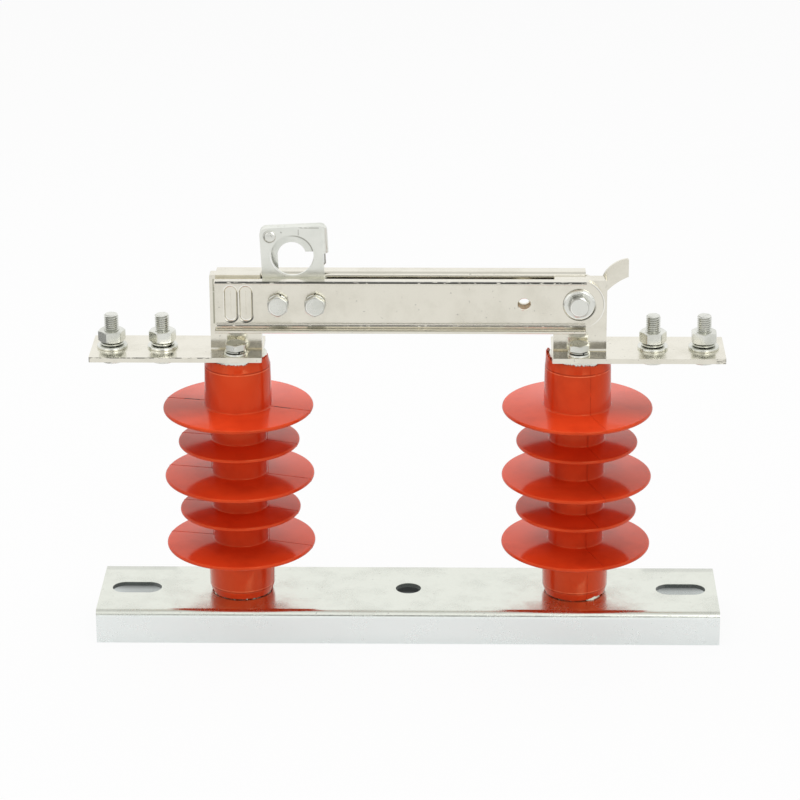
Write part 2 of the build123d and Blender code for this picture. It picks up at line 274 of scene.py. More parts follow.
# how fine each pattern is, the colours of specks and of painted shade in creases, and how deep the bumps go
# in metres
plating = {"cloud": 45, "grain": 900, "streak": 1500, "specks": 420, "dashes": 700,
           "speckColor": (0.32, 0.31, 0.27), "paintedShadeColor": (0.09, 0.09, 0.08), "paintedShade": 0.85,
           "scratchDeep": 0.0001, "cloudDeep": 0.0008, "arcSoft": 0.0002}


def both(tree, a, b):
    return combine(tree, "MULTIPLY", a, b)


def between(tree, value, low, high, soft):
    # 1 from low + soft to high - soft, fading to 0 outside
    return both(tree, remap(tree, value, low - soft, low + soft),
                remap(tree, value, high - soft, high + soft, 1, 0))


def insideBox(tree, axes, low, high, soft):
    # 1 inside a box of object coordinates, fading to 0 over the soft edge
    inside = None
    for axis, start, end in zip(axes, low, high):
        if start is None:
            continue
        part = both(tree, remap(tree, axis, start - soft, start), remap(tree, axis, end, end + soft, 1, 0))
        inside = part if inside is None else both(tree, inside, part)
    return inside


def nearArc(tree, point, centre, low, high, toward, half):
    # 1 between two radii round a point in X and Z, within half degrees of a direction
    place = addNode(tree, "ShaderNodeVectorMath", operation="MULTIPLY_ADD")
    place.inputs[1].default_value = (1, 0, 1)
    place.inputs[2].default_value = (-centre[0], 0, -centre[1])
    tree.links.new(point, place.inputs[0])
    far = addNode(tree, "ShaderNodeVectorMath", operation="LENGTH")
    unit = addNode(tree, "ShaderNodeVectorMath", operation="NORMALIZE")
    dot = addNode(tree, "ShaderNodeVectorMath", operation="DOT_PRODUCT")
    dot.inputs[1].default_value = (cos(radians(toward)), 0, sin(radians(toward)))
    tree.links.new(place.outputs[0], far.inputs[0])
    tree.links.new(place.outputs[0], unit.inputs[0])
    tree.links.new(unit.outputs[0], dot.inputs[0])
    band = between(tree, far.outputs["Value"], low, high, plating["arcSoft"])
    if half >= 180:
        return band
    ends = remap(tree, dot.outputs["Value"], cos(radians(half)), cos(radians(half * 0.35)))
    return both(tree, band, ends)


def makePlated(metal, marks=(), arcs=(), name=None):
    # a mark is (low corner, high corner, soft edge, colour, how broken up, strength)
    # an arc is (centre, inner radius, outer radius, direction, half width, colour, strength)
    look = platedMetals[metal]
    mat, tree, shader = startFinish(name or metal)
    point = objectPoint(tree)
    cloud = addNoise(tree, point, plating["cloud"], 5, 0.6)
    grain = addNoise(tree, point, plating["grain"], 3, 0.6)
    streak = addNoise(tree, objectPoint(tree, scale=(0.25, 1, 1)), plating["streak"], 2, 0.6)
    specks = addNoise(tree, point, plating["specks"], 2, 0.5)
    color = blendColor(tree, remap(tree, cloud, 0.42, 0.68), look["color"], look["dull"])
    color = blendColor(tree, remap(tree, specks, 0.70, 0.76, 0, 0.5), color, plating["speckColor"])
    if marks:
        split = addNode(tree, "ShaderNodeSeparateXYZ")
        tree.links.new(point, split.inputs[0])
        dashes = addNoise(tree, objectPoint(tree, scale=(0.3, 1, 1)), plating["dashes"], 2, 0.6)
    # marks and arcs paint light and shade into the colour by place
    for low, high, soft, tone, broken, strength in marks:
        spot = both(tree, insideBox(tree, split.outputs, low, high, soft), strength)
        if broken:
            spot = both(tree, spot, remap(tree, dashes, broken - 0.05, broken + 0.05))
        color = blendColor(tree, spot, color, tone)
    for centre, low, high, toward, half, tone, strength in arcs:
        spot = both(tree, nearArc(tree, point, centre, low, high, toward, half), strength)
        color = blendColor(tree, spot, color, tone)
    # painted shade from the vertices' crease shade, darker in thread roots and on split washers
    paintedShade = addNode(tree, "ShaderNodeAttribute", attribute_name="creaseShade")
    color = blendColor(tree, both(tree, paintedShade.outputs["Fac"], plating["paintedShade"]), color, plating["paintedShadeColor"])
    tree.links.new(color, shader.inputs["Base Color"])
    mottle = remap(tree, cloud, 0.35, 0.70, *look["rough"])
    gloss = combine(tree, "ADD", mottle, remap(tree, grain, 0.4, 0.75, 0, 0.06))
    tree.links.new(gloss, shader.inputs["Roughness"])
    shader.inputs["Metallic"].default_value = 1.0
    first = addBump(tree, shader, streak, look["scratch"], plating["scratchDeep"])
    addBump(tree, shader, cloud, 0.12, plating["cloudDeep"], first)
    return mat


rubberLook = {"color": (0.74, 0.056, 0.012), "deep": (0.63, 0.042, 0.009), "slit": (0.10, 0.006, 0.004),
              "rough": (0.10, 0.19), "sheen": (1.0, 0.54, 0.25), "ior": 1.53, "seam": 0.2,
              "slitEnd": 0.0015, "topShed": (0.150, 0.152)}

# painted shade and painted highlight lines where the caps' tapered ends begin, and painted shade where the
# rubber meets the base: (height, half thickness, colour, strength)
shoulderLines = [(0.1913, 0.0005, (0.22, 0.010, 0.004), 0.55), (0.1903, 0.0004, (0.95, 0.22, 0.10), 0.75),
                 (0.0306, 0.0004, (0.95, 0.22, 0.10), 0.6), (0.0297, 0.0004, (0.22, 0.010, 0.004), 0.5),
                 (0.0241, 0.0008, (0.05, 0.006, 0.004), 0.85)]


def makeRubber(name, centreX, seamTurn, slits):
    # seamTurn is how far the mould's parting plane is turned from the X axis
    # a slit is (start, end, half width), measured from the post's axis in that plane
    mat, tree, shader = startFinish(name)
    shift = (-centreX * cos(seamTurn), centreX * sin(seamTurn), 0)
    place = objectPoint(tree, turn=(0, 0, -seamTurn), shift=shift)
    split = addNode(tree, "ShaderNodeSeparateXYZ")
    tree.links.new(place, split.inputs[0])
    along, across, level = split.outputs[0], combine(tree, "ABSOLUTE", split.outputs[1], 0), split.outputs[2]
    plain = objectPoint(tree)
    cloud = addNoise(tree, plain, 28, 4, 0.55)
    fine = addNoise(tree, plain, 700, 3, 0.6)
    breakUp = addNoise(tree, plain, 160, 3, 0.6)
    line = both(tree, remap(tree, across, 0.00012, 0.00042, 1, 0), remap(tree, breakUp, 0.40, 0.52))
    color = blendColor(tree, remap(tree, cloud, 0.40, 0.66), rubberLook["color"], rubberLook["deep"])
    color = blendColor(tree, both(tree, line, rubberLook["seam"]), color, rubberLook["slit"])
    # painted shade and highlight lines round the caps
    for height, thick, tone, strength in shoulderLines:
        near = both(tree, remap(tree, level, height - thick, height - thick * 0.4),
                    remap(tree, level, height + thick * 0.4, height + thick, 1, 0))
        near = both(tree, near, remap(tree, breakUp, 0.36, 0.50, 0.25, 1))
        color = blendColor(tree, both(tree, near, strength), color, tone)
    for low, high, wide in slits:
        end = rubberLook["slitEnd"]
        reach = both(tree, remap(tree, along, low - end, low), remap(tree, along, high, high + end, 1, 0))
        cut = both(tree, remap(tree, across, wide * 0.6, wide, 1, 0), reach)
        cut = both(tree, cut, remap(tree, level, *rubberLook["topShed"]))
        color = blendColor(tree, cut, color, rubberLook["slit"])
    tree.links.new(color, shader.inputs["Base Color"])
    tree.links.new(remap(tree, cloud, 0.35, 0.7, *rubberLook["rough"]), shader.inputs["Roughness"])
    shader.inputs["IOR"].default_value = rubberLook["ior"]
    shader.inputs["Specular Tint"].default_value = (*rubberLook["sheen"], 1)
    first = addBump(tree, shader, fine, 0.05, 0.0002)
    addBump(tree, shader, line, -0.5, 0.0003, first)
    return mat


def makeRod():
    mat, tree, shader = startFinish("resin_rod")
    grain = addNoise(tree, objectPoint(tree, scale=(1, 1, 0.05)), 900, 3, 0.6)
    color = blendColor(tree, remap(tree, grain, 0.35, 0.7), (0.42, 0.38, 0.13), (0.30, 0.26, 0.08))
    tree.links.new(color, shader.inputs["Base Color"])
    tree.links.new(remap(tree, grain, 0.3, 0.7, 0.3, 0.45), shader.inputs["Roughness"])
    addBump(tree, shader, grain, 0.2, 0.0001)
    return mat


# painted light and shade: a painted shade line along the blade's front edge, painted shade on the walls in
# the base's slots, and the base's sides painted lighter and cooler
# colours of painted deep shade, soft shade and highlights, then of painted shade in creases and slots
deepShade, softShade, highlight = (0.04, 0.04, 0.035), (0.30, 0.29, 0.25), (0.98, 0.97, 0.92)
shade, slotShade = (0.07, 0.065, 0.05), (0.07, 0.08, 0.08)
pivot, eye, rivetSpot = (postX, axisZ), (-0.07697, 0.27051), (-0.0919, 0.2835)
eyeBehind = (eye[0], 0.2682)  # the rear leaf's edge, seen through the eye from a little above


def dentArcs(x):
    # painted shade and painted highlight crescents at both ends of a pressed dent
    low, high = (x, 0.2288), (x, 0.2452)
    return [(low, 0.0042, 0.0054, -66, 82, deepShade, 0.9), (low, 0.0031, 0.0041, -95, 85, highlight, 0.95),
            (high, 0.0045, 0.0053, 95, 85, highlight, 0.8), (high, 0.0036, 0.0042, 85, 60, softShade, 0.25)]


def dentMarks(x):
    # a painted shade line down its right side and a painted highlight down its left
    return [((x + 0.0043, -0.0085, 0.2288), (x + 0.0049, -0.0060, 0.2450), 0.0002, softShade, 0, 0.7),
            ((x - 0.0047, -0.0085, 0.2288), (x - 0.0043, -0.0060, 0.2450), 0.0002, highlight, 0, 0.7)]


def headArcs(x):
    # painted shade and painted highlight round the face of a hexagon head
    spot = (x, axisZ)
    return [(spot, 0.0060, 0.00625, 0, 180, softShade, 0.75), (spot, 0.0063, 0.0072, 150, 65, softShade, 0.8),
            (spot, 0.0054, 0.0059, 225, 85, highlight, 0.9), (spot, 0.0063, 0.0071, -60, 50, softShade, 0.4)]


# painted shade: a broken dark line along the front flange's top edge, and a line in the inner bend over the
# lower flange
bladeMarks = [((-0.1285, -0.0163, 0.2546), (0.1206, -0.0142, 0.2557), 0.0004, deepShade, 0.37, 0.93),
              ((-0.1285, -0.0084, 0.2213), (0.1206, -0.0076, 0.2219), 0.0002, shade, 0.37, 0.8)]
# a painted highlight and a painted shade line round the nose's edge, and the pivot washer's painted shadow on
# the blade
bladeArcs = [(pivot, 0.0167, 0.0175, 0, 80, highlight, 0.9), (pivot, 0.0162, 0.0166, 25, 45, softShade, 0.6),
             (pivot, 0.0112, 0.0118, -50, 60, softShade, 0.7)]
for x in dentX:
    bladeArcs += dentArcs(x)
    bladeMarks += dentMarks(x)
# painted shade and painted highlight crescents on the pivot washers' rims
washerArcs = [(pivot, 0.0102, 0.0113, -64, 75, deepShade, 1), (pivot, 0.0108, 0.0112, 180, 150, softShade, 0.75),
              (pivot, 0.0090, 0.0099, -85, 80, highlight, 0.95)]
# painted shade and a painted highlight round the ring's eye and by its rivet, a painted shadow at the ring's
# foot, and painted shade lines along its top edges
ringArcs = [(eyeBehind, 0.0134, 0.0142, 42, 70, softShade, 0.8), (eye, 0.0144, 0.0152, 232, 70, (1, 1, 0.97), 1),
            (rivetSpot, 0.0042, 0.0047, 200, 120, softShade, 0.6)]
ringMarks = [((-0.0617, -0.0045, 0.2486), (-0.0585, -0.0035, 0.2499), 0.0004, deepShade, 0, 0.85),
             ((-0.0725, -0.0045, 0.2893), (-0.0590, -0.0035, 0.2899), 0.0002, softShade, 0.42, 0.5),
             ((-0.0729, -0.0045, 0.2845), (-0.0726, -0.0035, 0.2890), 0.0002, softShade, 0.4, 0.7)]
# painted shade round the rivet heads' rims and near their middles
rivetArcs = [(rivetSpot, 0.0034, 0.0039, 190, 130, softShade, 0.85), (rivetSpot, 0.0012, 0.0016, 40, 60, softShade, 0.5)]
# painted shade: a broken dark line along the left bar's top front edge, and a patch on the right bar's front
# at its outer end
barMarks = [((-0.2150, -0.0226, 0.2030), (-0.130, -0.0219, 0.2040), 0.0003, deepShade, 0.47, 0.75),
            ((0.2085, -0.0226, 0.1995), (0.2152, -0.0215, 0.2040), 0.0004, softShade, 0.50, 0.8)]
# painted shadow: a dark stripe on the fixed contact's face beside the blade's end
contactMarks = [((-0.1310, -0.02, 0.222), (-0.1302, 0.0, 0.2535), 0.0003, (0.25, 0.25, 0.17), 0.36, 0.7)]
# painted light on the channel's sides below its top, lighter and cooler, and painted shade on the walls of
# its slots and centre hole and on the rear flange's inner face seen through them
baseMarks = [
    ((None, None, -0.001), (None, None, 0.0195), 0.002, (0.90, 0.945, 0.93), 0, 1.0),
    ((-0.209, -0.0095, 0.0211), (-0.171, 0.0095, 0.0236), 0.0003, slotShade, 0, 0.9),
    ((0.171, -0.0095, 0.0211), (0.209, 0.0095, 0.0236), 0.0003, slotShade, 0, 0.9),
    ((-0.0095, -0.0095, 0.0211), (0.0095, 0.0095, 0.0236), 0.0003, slotShade, 0, 0.9),
    ((-0.025, 0.0325, 0.005), (0.025, 0.0372, 0.0205), 0.004, (0.03, 0.033, 0.033), 0, 0.95),
    ((-0.213, 0.0325, 0.0095), (-0.167, 0.0372, 0.0205), 0.005, (0.10, 0.105, 0.105), 0, 0.85),
    ((0.167, 0.0325, 0.0095), (0.213, 0.0372, 0.0205), 0.005, (0.10, 0.105, 0.105), 0, 0.85)]

# finishes by name: the plain metals, then those with painted shade and highlights of their own as (metal,
# marks, arcs)
ownMarks = {"galvanised_steel": baseMarks, "plated_sheet": ringMarks}
ownArcs = {"plated_sheet": ringArcs}
paintedLightMetals = {"bladeTin": ("tinned_copper", bladeMarks, bladeArcs),
              "boltZinc": ("zinc_steel", (), headArcs(boltX[0]) + headArcs(boltX[1])),
              "pivotZinc": ("zinc_steel", (), headArcs(postX)), "washerZinc": ("zinc_steel", (), washerArcs),
              "contactTin": ("tinned_copper", contactMarks, ()), "rivetZinc": ("zinc_steel", (), rivetArcs),
              "barTin": ("tinned_copper", barMarks, ())}
ownFinish = {"fixed_contact": "contactTin", "left_terminal_bar": "barTin", "right_terminal_bar": "barTin"}
finishes = {name: makePlated(name, ownMarks.get(name, ()), ownArcs.get(name, ())) for name in platedMetals}
for name, (metal, marks, arcs) in paintedLightMetals.items():
    finishes[name] = makePlated(metal, marks, arcs, name)
finishes["resin_rod"] = makeRod()
seams = {"left": radians(-14), "right": radians(-69)}  # parting planes, turned from X
topSlits = ((0.0265, 0.0365, 0.0008), (-0.038, -0.0285, 0.0008))
finishes["leftRubber"] = makeRubber("leftRubber", -postX, seams["left"], topSlits)
finishes["rightRubber"] = makeRubber("rightRubber", postX, seams["right"], ())
for entry in frame["record"]["subparts"]:
    node = frame["nodes"][entry["node"]]
    finish = ownFinish.get(entry["node"], entry["material_slot"])
    if finish == "silicone_rubber":
        finish = entry["node"].split("_")[0] + "Rubber"
    for slot in node.material_slots:
        slot.material = finishes[finish]
print("finishes made")


def startPoint(name, first):
    # a mesh of one selected vertex, in edit mode, from which outlines are drawn
    clearSelection()
    bpy.ops.mesh.primitive_plane_add(size=0.01, location=(0, 0, 0))
    obj = bpy.context.object
    obj.name = name
    obj.data.name = name
    bpy.ops.object.mode_set(mode="EDIT")
    bpy.ops.mesh.select_all(action="SELECT")
    bpy.ops.mesh.merge(type="CENTER")
    bpy.ops.transform.translate(value=first)
    return obj


def drawOn(points):
    # draws a line from each point to the next by extruding the selected vertex
    for start, end in zip(points, points[1:]):
        bpy.ops.mesh.extrude_vertices_move(TRANSFORM_OT_translate={"value": Vector(end) - Vector(start)})


def selectAll():
    bpy.ops.mesh.select_all(action="SELECT")


def weld():
    bpy.ops.mesh.remove_doubles(threshold=0.000001)


def faceOutward():
    # the last step of every body: outward faces, then back to object mode
    selectAll()
    bpy.ops.mesh.normals_make_consistent(inside=False)
    bpy.ops.object.mode_set(mode="OBJECT")


def profile(path):
    # (radius, height) pairs as points in X and Z
    return [Vector((x, 0, z)) for x, z in path]


def rounded(points, radii, pieces=4):
    # a closed outline in (radius, height) with some corners rounded
    path = []
    for i, (x, z) in enumerate(points):
        r = radii.get(i, 0)
        here = Vector((x, 0, z))
        if not r:
            path.append(here)
            continue
        before, after = (point - here for point in profile([points[i - 1], points[(i + 1) % len(points)]]))
        half = before.angle(after) / 2
        run = r / tan(half)
        middle = here + (before.normalized() + after.normalized()).normalized() * (r / sin(half))
        a = here + before.normalized() * run - middle
        b = here + after.normalized() * run - middle
        path += [middle + a.slerp(b, k / pieces).normalized() * r for k in range(pieces + 1)]
    return path


def turnRound(name, path, steps):
    # spins an outline round the Z axis into a closed body
    obj = startPoint(name, path[0])
    drawOn(path + [path[0]])
    selectAll()
    weld()
    bpy.ops.mesh.spin(steps=steps, angle=2 * pi, center=(0, 0, 0), axis=(0, 0, 1))
    selectAll()
    weld()
    faceOutward()
    return obj


def pushOut(name, outline, run):
    # a closed outline made solid by one straight push
    obj = startPoint(name, outline[0])
    drawOn(outline)
    selectAll()
    bpy.ops.mesh.edge_face_add()
    bpy.ops.mesh.extrude_region_move(TRANSFORM_OT_translate={"value": run})
    faceOutward()
    return obj


def useModifier(obj, kind, **settings):
    bpy.context.view_layer.objects.active = obj
    mod = obj.modifiers.new(kind.lower(), kind)
    for key, value in settings.items():
        setattr(mod, key, value)
    bpy.ops.object.modifier_apply(modifier=mod.name)


def addCreaseShade(obj, howShaded):
    # notes on the vertices how much shade is painted there, as in thread roots and on washer edges
    creaseShade = obj.data.attributes.new("creaseShade", "FLOAT", "POINT")
    for v in obj.data.vertices:
        creaseShade.data[v.index].value = howShaded(v.co)


def copyTo(obj, matrix):
    other = obj.copy()
    other.data = obj.data.copy()
    bpy.context.collection.objects.link(other)
    other.data.transform(matrix)
    return other


def joinAll(objs, name):
    clearSelection()
    for obj in objs:
        obj.select_set(True)
    bpy.context.view_layer.objects.active = objs[0]
    if len(objs) > 1:
        bpy.ops.object.join()
    objs[0].name = name
    objs[0].data.name = name
    return objs[0]


def finishPiece(obj, body, material, nodes=(), smooth=35):
    clearSelection()
    obj.select_set(True)
    bpy.context.view_layer.objects.active = obj
    bpy.ops.object.shade_smooth_by_angle(angle=radians(smooth))
    obj.data.materials.clear()
    obj.data.materials.append(finishes[material])
    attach(obj, body)
    if nodes:
        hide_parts(*nodes)


# rubber housings: turned outline with sheds, then torn edges at both ends
housing = {"height": 0.176, "capRadius": 0.0225, "capRoot": 0.0231, "capLip": 0.0211,
           "lipHeight": 0.005, "lowGap": 0.0002, "highGap": 0.0034, "bore": 0.0204, "boreDeep": 0.018,
           "rodBore": 0.0121, "sheath": 0.0188, "sheds": (0.0514, 0.0416), "pitch": 0.025, "first": 0.0351,
           "rise": 0.0013, "rim": 0.0027, "root": 0.0012, "seam": 0.0002, "seamFlat": 0.6,
           "shoulder": (0.0002, 0.0005), "rimRound": 0.45, "steps": 240}
# ragged edges: waves, teeth and hairs by how close they lie, and the flap's push outward
ragged = {"sizes": (5, 26, 60), "waves": 0.0004, "teeth": 0.0005, "least": 0.00004, "slope": 3.2,
          "flapRise": 0.004, "flapOut": 0.0007}


def housingOutline():
    h = housing
    top = h["height"] - h["highGap"]
    inward, lift = h["shoulder"]
    lipLow, lipHigh = h["lowGap"] + h["lipHeight"], top - h["lipHeight"]
    points, radii = [(h["bore"], h["lowGap"]), (h["capLip"], h["lowGap"])], {}

    def corner(x, z, r=0.0):
        if r:
            radii[len(points)] = r
        points.append((x, z))

    corner(h["capRadius"] - inward, lipLow - lift)
    corner(h["capRadius"], lipLow)
    for i in range(5):
        low = h["first"] + i * h["pitch"]
        radius = h["sheds"][i % 2]
        under = h["capRoot"] if i == 0 else h["sheath"]
        over = h["capRoot"] if i == 4 else h["sheath"]
        slope = h["rise"] * (radius - over) / radius
        corner(under, low, h["root"])
        corner(radius, low, h["rim"] * h["rimRound"])
        corner(radius, low + h["rim"], h["rim"] * h["rimRound"])
        corner(over, low + h["rim"] + slope, h["root"])
    corner(h["capRadius"], lipHigh)
    corner(h["capRadius"] - inward, lipHigh + lift)
    corner(h["capLip"], top)
    corner(h["bore"], top)
    corner(h["bore"], h["height"] - h["boreDeep"])
    corner(h["rodBore"], h["height"] - h["boreDeep"])
    corner(h["rodBore"], h["boreDeep"])
    corner(h["bore"], h["boreDeep"])
    return rounded(points, radii)


def tearEdges(obj, seed, highArcs, lowArcs):
    # ragged moulding flash where the rubber ends on the metal; an arc is (middle, half width, rise)
    low, top = housing["lowGap"], housing["height"] - housing["highGap"]
    for v in obj.data.vertices:
        x, y, z = v.co
        atTop = abs(z - top) < 1e-6
        if not atTop and abs(z - low) > 1e-6:
            continue
        angle = atan2(y, x)
        spot = Vector((cos(angle), sin(angle), seed))
        waves, teeth, hairs = (noise.noise(spot * size) for size in ragged["sizes"])
        v.co.z = max(v.co.z + ragged["waves"] * waves + ragged["teeth"] * teeth, ragged["least"])
        for middle, half, rise in highArcs if atTop else lowArcs:
            away = abs((angle - radians(middle) + pi) % (2 * pi) - pi)
            if away < radians(half):
                tear = rise * min(1, (radians(half) - away) * ragged["slope"])
                v.co.z += tear * (0.75 + 0.45 * teeth + 0.3 * hairs)
                if rise > ragged["flapRise"]:
                    v.co.x += ragged["flapOut"] * cos(angle)
                    v.co.y += ragged["flapOut"] * sin(angle)


def addSeam(outline, side, word):
    # the thin ridge of rubber along the mould's parting plane
    outer = [point for point in outline if point.x > housing["capLip"] - 0.0025]
    arms = []
    for turn in (0, pi):
        arm = startPoint("seam", outer[0])
        drawOn(outer)
        bpy.ops.object.mode_set(mode="OBJECT")
        bpy.ops.object.convert(target="CURVE")
        arm = bpy.context.object
        arm.data.bevel_depth = housing["seam"]
        arm.data.bevel_resolution = 1
        bpy.ops.object.convert(target="MESH")
        arm = bpy.context.object
        arm.data.transform(Matrix.Scale(housing["seamFlat"], 4, (0, 1, 0)))
        arm.data.transform(Matrix.Rotation(seams[word] + turn, 4, "Z"))
        arms.append(arm)
    seam = joinAll(arms, word + "Seam")
    seam.data.transform(Matrix.Translation((side * postX, 0, footZ)))
    finishPiece(seam, "base", word + "Rubber", (), 60)


tears = {"left": (((-36, 38, 0.0028), (100, 60, 0.002), (-105, 42, 0.0006)),
                  ((180, 38, 0.0012), (-8, 30, 0.0010))),
         "right": (((180, 36, 0.0052), (-25, 30, 0.0026), (-108, 48, 0.0016)),
                   ((-48, 24, 0.0018), (175, 30, 0.0022)))}


def buildHousings():
    outline = housingOutline()
    base = turnRound("rubberHousing", outline, housing["steps"])
    for side, word in ((-1, "left"), (1, "right")):
        obj = copyTo(base, Matrix.Identity(4))
        obj.name = word + "RubberHousing"
        obj.data.name = obj.name
        tearEdges(obj, 5.4 + side * 2.3, *tears[word])
        obj.data.transform(Matrix.Translation((side * postX, 0, footZ)))
        finishPiece(obj, "base", word + "Rubber", [word + "_insulator_housing"], 40)
        addSeam(outline, side, word)
    bpy.data.objects.remove(base)


buildHousings()
print("rubber housings turned")

# fasteners: r and root are the thread's two radii, shank, core and screw those of plain stretches,
# flats is the width across, spring is a split washer
sizes = {
    "m10": {"r": 0.00492, "root": 0.00408, "pitch": 0.0015, "flats": 0.0165, "head": 0.0064, "nut": 0.008,
            "shank": 0.00485, "core": 0.00405, "screw": 0.0049, "washer": 0.0104, "washerThick": 0.002,
            "spring": 0.0082, "springThick": 0.0025},
    "m8": {"r": 0.00393, "root": 0.00323, "pitch": 0.00125, "flats": 0.013, "head": 0.0046, "nut": 0.0065,
           "shank": 0.00395, "core": 0.0032, "screw": 0.0039, "washer": 0.0077, "washerThick": 0.0016,
           "spring": 0.0072, "springThick": 0.002}}
# a hexagon's chamfer circle, corner and blank as shares of the width across, and its chamfer
hexagon = {"face": 0.465, "corner": 0.566, "blank": 0.6, "chamfer": 0.0006, "turns": 72}
nearAxis, holePlay = 0.00001, 0.0003
# one tooth of thread: whether each point lies on the crest, and its height in pitches
toothShape = ((False, 0), (False, 0.1), (True, 0.42), (True, 0.56), (False, 0.9), (False, 1))


def addThread(size, low, high):
    # one turn of the tooth is drawn, screwed upwards, then cut level at both ends
    r, root, pitch = size["r"], size["root"], size["pitch"]
    points = profile([(r if crest else root, low + (z - 1.5) * pitch) for crest, z in toothShape])
    obj = startPoint("thread", points[0])
    drawOn(points)
    bpy.ops.object.mode_set(mode="OBJECT")
    useModifier(obj, "SCREW", screw_offset=pitch, iterations=int((high - low) / pitch) + 3, steps=36,
                render_steps=36, use_merge_vertices=True, merge_threshold=0.000002)
    bpy.ops.object.mode_set(mode="EDIT")
    for level, inner, outer in ((low, True, False), (high, False, True)):
        selectAll()
        bpy.ops.mesh.bisect(plane_co=(0, 0, level), plane_no=(0, 0, 1), use_fill=True,
                            clear_inner=inner, clear_outer=outer)
    faceOutward()
    for v in obj.data.vertices:
        limit = root + 0.00012 + (high - v.co.z) * 0.85  # chamfered point
        here = hypot(v.co.x, v.co.y)
        if here > limit:
            v.co.x, v.co.y = v.co.x * limit / here, v.co.y * limit / here
    # painted shade in the thread's roots
    addCreaseShade(obj, lambda co: 0.45 if hypot(co.x, co.y) < root + 0.00005 and co.z < high - 0.0001 else 0)
    return obj


def addRod(radius, low, high):
    return turnRound("rod", profile([(nearAxis, low), (radius, low), (radius, high), (nearAxis, high)]), 36)


def millHex(obj, flats, height, bothEnds):
    # pushes the rim of a turned blank in to the six flats, below a 30 degree chamfer
    face = flats * hexagon["face"]
    for v in obj.data.vertices:
        here = hypot(v.co.x, v.co.y)
        if here < face + nearAxis:
            continue
        turn = atan2(v.co.y, v.co.x) % (pi / 3) - pi / 6
        side = min(flats / 2 / cos(turn), flats * hexagon["corner"])
        v.co.x, v.co.y = v.co.x * side / here, v.co.y * side / here
        drop = (side - face) * tan(radians(30))
        if v.co.z > height / 2:
            v.co.z = height - drop
        elif bothEnds:
            v.co.z = drop
    return obj


def makeHead(size):
    face, wide, high = size["flats"] * hexagon["face"], size["flats"] * hexagon["blank"], size["head"]
    rim = [(nearAxis, 0), (wide, 0), (wide, high - hexagon["chamfer"]), (face, high),
           (face - 0.00035, high), (nearAxis, high - 0.00006)]  # slightly dished
    return millHex(turnRound("head", profile(rim), hexagon["turns"]), size["flats"], high, False)


def makeNut(size):
    face, wide, high = size["flats"] * hexagon["face"], size["flats"] * hexagon["blank"], size["nut"]
    bore, mouth, sink, cut = size["root"] + 0.00005, size["r"] + 0.0005, 0.0008, hexagon["chamfer"]
    rim = [(bore, sink), (mouth, 0), (face, 0), (wide, cut), (wide, high - cut), (face, high),
           (mouth, high), (bore, high - sink)]
    return millHex(turnRound("nut", profile(rim), hexagon["turns"]), size["flats"], high, True)


def makeWasher(size):
    hole, out, high = size["r"] + holePlay, size["washer"], size["washerThick"]
    path = rounded([(hole, 0), (out, 0), (out, high), (hole, high)], {1: 0.0003, 2: 0.0007, 3: 0.0002}, 3)
    return turnRound("washer", path, hexagon["turns"])


def makeSpring(size, rise):
    # a split washer with worn outer edges, open for the last 9 degrees
    hole, out, high = size["r"] + holePlay, size["spring"], size["springThick"] - rise
    bevel = 0.0013
    path = profile([(hole, 0), (out - bevel, 0), (out - 0.0001, 0.0007), (out, 0.0009), (out, high - 0.0008),
                    (out - 0.0002, high - 0.0006), (out - bevel, high), (hole, high)])
    obj = startPoint("spring", path[0])
    drawOn(path + [path[0]])
    selectAll()
    weld()
    bpy.ops.object.mode_set(mode="OBJECT")
    useModifier(obj, "SCREW", angle=radians(351), screw_offset=rise, steps=64, render_steps=64)
    bpy.ops.object.mode_set(mode="EDIT")
    selectAll()
    bpy.ops.mesh.fill_holes(sides=0)
    bpy.ops.mesh.normals_make_consistent(inside=False)
    bpy.ops.object.mode_set(mode="OBJECT")
    # painted shade on the faces and bore inside the worn outer edge, where the washer is pressed between
    # parts
    addCreaseShade(obj, lambda co: 1 if hypot(co.x, co.y) < out - bevel + 0.00005 else 0)
    return obj


def placeAt(place, up="Z", turn=0.0):
    tip = Matrix.Rotation(radians({"Z": 0, "-Z": 180, "-Y": 90, "Y": -90}[up]), 4, "X")
    return Matrix.Translation(place) @ tip @ Matrix.Rotation(radians(turn), 4, "Z")


def placeCopies(piece, name, places, body, finish="zinc_steel"):
    # copies of one piece, joined into the object that takes the node's place
    made = joinAll([copyTo(piece, place) for place in places], name)
    finishPiece(made, body, finish, [name])
    bpy.data.objects.remove(piece)


def lifted(obj, height):
    obj.data.transform(Matrix.Translation((0, 0, height)))
    return obj


# the terminals' studs, and how far each nut and split washer is turned in degrees
studX = {"left": (-0.1665, -0.201), "right": (0.1665, 0.201)}
nutTurns = {"left": (14, 12), "right": (3, 30)}
splitTurns = {"left": (-35, 150), "right": (100, 60)}
studTop, capBoltY, tapDeep = 0.0235, 0.0141, 0.012


